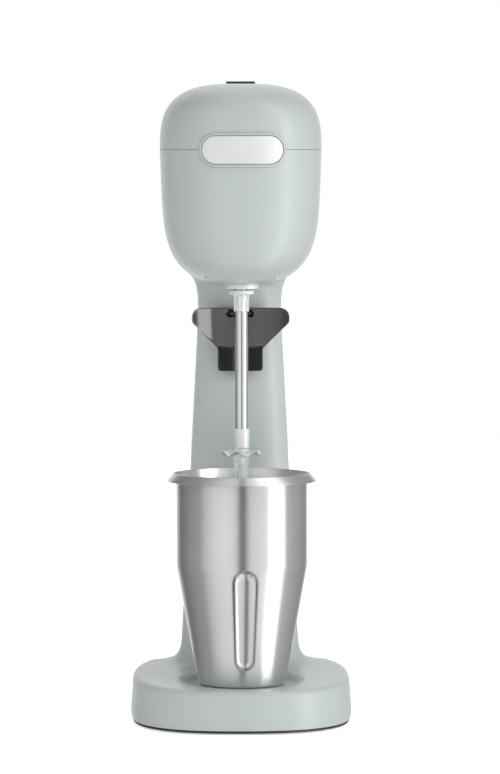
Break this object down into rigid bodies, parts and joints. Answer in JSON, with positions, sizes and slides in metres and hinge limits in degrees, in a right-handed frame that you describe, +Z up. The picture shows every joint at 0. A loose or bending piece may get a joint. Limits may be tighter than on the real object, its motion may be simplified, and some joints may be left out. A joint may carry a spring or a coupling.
{
  "type": "milkshake mixer",
  "caption": "Countertop single-cup milkshake mixer: painted cast column with a domed motor head, hanging spindle with agitator, and a tall steel cup standing on the foot.",
  "frame": {"origin": "middle of the footprint on the table, under the four rubber feet", "axes": "+Z up, -Y towards the user and the front of the machine, +X to the user's right"},
  "size_m": [0.1704, 0.1964, 0.4922],
  "materials": {
    "black_plastic": "moulded black plastic",
    "black_plate": "black powder coat",
    "brass": "plain brass",
    "bronze": "sintered bronze",
    "capacitor_yellow": "moulded epoxy box",
    "carbon": "matt carbon graphite",
    "cast_alloy": "as die cast",
    "clear_plastic": "clear polycarbonate",
    "copper": "enamelled copper",
    "fan_plastic": "moulded black nylon",
    "felt": "oiled felt and rubber",
    "gloss_black": "gloss black",
    "lamination": "varnished laminated steel",
    "nylon": "natural nylon",
    "paint": "satin pale grey-green paint",
    "rubber": "matt black rubber",
    "satin_silver": "satin",
    "stainless": "fine brushed and polished stainless steel",
    "steel": "ground and polished steel",
    "wire_grey": "soft PVC insulation",
    "zinc": "zinc plated steel"
  },
  "bodies": {
    "machine": {"body_casting": "paint", "cover_gasket": "rubber", "head_cover": "paint", "cover_screws": "zinc", "bottom_plate": "black_plate", "rubber_feet": "rubber", "plate_screws": "zinc", "cord_gland": "rubber", "cord_clamp": "nylon", "cord_clamp_screws": "zinc", "terminal_block": "nylon", "terminal_screws": "brass", "badge_frame": "paint", "badge_plate": "satin_silver", "switch_bezel": "black_plastic", "switch_housing": "black_plastic", "switch_terminals": "brass", "cup_hanger": "gloss_black", "hanger_screws": "zinc", "lever_pin": "steel", "microswitch_body": "black_plastic", "microswitch_screws": "zinc", "microswitch_terminals": "brass", "spindle_collar": "satin_silver", "shaft_seal": "felt", "motor_lower_plate": "cast_alloy", "motor_upper_plate": "cast_alloy", "motor_through_bolts": "zinc", "motor_spacers": "zinc", "motor_grommets": "rubber", "motor_screws": "zinc", "stator_core": "lamination", "field_coils": "copper", "lower_bearing": "bronze", "upper_bearing": "bronze", "brush_holders": "brass", "carbon_brushes": "carbon", "brush_springs": "steel", "suppression_capacitor": "capacitor_yellow", "supply_leads": "wire_grey", "sensor_leads": "wire_grey", "brush_leads": "wire_grey"},
    "spindle": {"motor_shaft": "steel", "armature_core": "lamination", "armature_windings": "copper", "commutator": "copper", "cooling_fan": "fan_plastic", "spindle_nut": "satin_silver", "coupling_sleeve": "clear_plastic", "mixing_rod": "steel", "rod_sleeve": "satin_silver", "agitator": "clear_plastic"},
    "cup": {"mixing_cup": "stainless"},
    "rocker": {"speed_rocker": "black_plastic"},
    "cup_lever": {"cup_switch_lever": "black_plastic"},
    "sensor_plunger": {"microswitch_plunger": "nylon"}
  },
  "joints": [
    {"name": "spindle_spin", "type": "hinge", "parent": "machine", "child": "spindle", "pos_m": [0, -0.037, 0.3034], "axis": [0, 0, -1], "continuous": true},
    {"name": "cup_lift", "type": "slide", "parent": "machine", "child": "cup", "axis": [0, 0, 1], "range_m": [0, 0.07]},
    {"name": "rocker_tilt", "type": "hinge", "parent": "machine", "child": "rocker", "pos_m": [0, -0.007, 0.4888], "axis": [0, 1, 0], "range_deg": [-10, 10]},
    {"name": "lever_press", "type": "hinge", "parent": "machine", "child": "cup_lever", "pos_m": [0, 0.021, 0.2954], "axis": [-1, 0, 0], "range_deg": [0, 12], "stiffness_Nm_per_rad": 0.05, "springref_deg": -5.73},
    {"name": "plunger_slide", "type": "slide", "parent": "machine", "child": "sensor_plunger", "axis": [0, 1, 0], "range_m": [0, 0.003]}
  ],
  "couplings": [
    {"joint": "plunger_slide", "follows": "lever_press", "m_per_rad": 0.0128}
  ]
}
